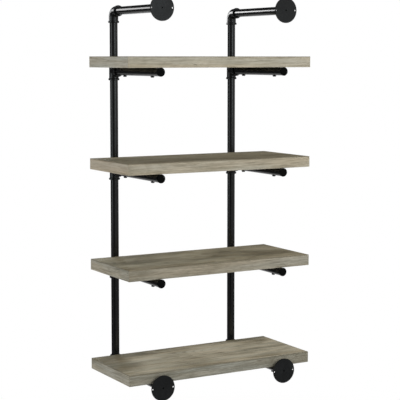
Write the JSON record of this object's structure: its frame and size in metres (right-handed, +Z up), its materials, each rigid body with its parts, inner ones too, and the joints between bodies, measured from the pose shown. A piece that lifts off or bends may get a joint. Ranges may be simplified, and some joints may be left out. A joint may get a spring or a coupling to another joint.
{
  "type": "wall shelf",
  "caption": "Wall shelf of plank boards carried on the arms of two black pipe frames, which turn back to the wall and screw to it through round flanges.",
  "frame": {"origin": "on the wall plane, at the centre of the four wall flanges", "axes": "+Z up, +Y into the wall, so the room is on the -Y side; +X to the right as seen from the room"},
  "size_m": [0.61, 0.3275, 1.1532],
  "materials": {
    "wood_board": "grey driftwood laminate, matt, long grain along the board",
    "black_pipe": "smooth black lacquer, semi gloss",
    "black_fitting": "black lacquer over a cast surface",
    "black_flange": "black lacquer, flat satin face",
    "black_plug": "moulded, matt",
    "black_bolt": "black oxide",
    "zinc_insert": "zinc plated"
  },
  "bodies": {
    "root": {"board_inserts_1": "zinc_insert", "board_inserts_2": "zinc_insert", "board_inserts_3": "zinc_insert", "board_inserts_4": "zinc_insert", "left_arm_plug_1": "black_plug", "left_arm_plug_2": "black_plug", "left_arm_plug_3": "black_plug", "left_bottom_arm": "black_pipe", "left_bottom_elbow": "black_fitting", "left_bottom_flange": "black_flange", "left_shelf_arm_1": "black_pipe", "left_shelf_arm_2": "black_pipe", "left_shelf_arm_3": "black_pipe", "left_tee_1": "black_fitting", "left_tee_2": "black_fitting", "left_tee_3": "black_fitting", "left_top_arm": "black_pipe", "left_top_elbow": "black_fitting", "left_top_flange": "black_flange", "left_upright_1": "black_pipe", "left_upright_2": "black_pipe", "left_upright_3": "black_pipe", "left_upright_4": "black_pipe", "right_arm_plug_1": "black_plug", "right_arm_plug_2": "black_plug", "right_arm_plug_3": "black_plug", "right_bottom_arm": "black_pipe", "right_bottom_elbow": "black_fitting", "right_bottom_flange": "black_flange", "right_shelf_arm_1": "black_pipe", "right_shelf_arm_2": "black_pipe", "right_shelf_arm_3": "black_pipe", "right_tee_1": "black_fitting", "right_tee_2": "black_fitting", "right_tee_3": "black_fitting", "right_top_arm": "black_pipe", "right_top_elbow": "black_fitting", "right_top_flange": "black_flange", "right_upright_1": "black_pipe", "right_upright_2": "black_pipe", "right_upright_3": "black_pipe", "right_upright_4": "black_pipe", "shelf_board_1": "wood_board", "shelf_board_2": "wood_board", "shelf_board_3": "wood_board", "shelf_board_4": "wood_board", "shelf_bolts_1": "black_bolt", "shelf_bolts_2": "black_bolt", "shelf_bolts_3": "black_bolt", "shelf_bolts_4": "black_bolt"}
  },
  "joints": []
}
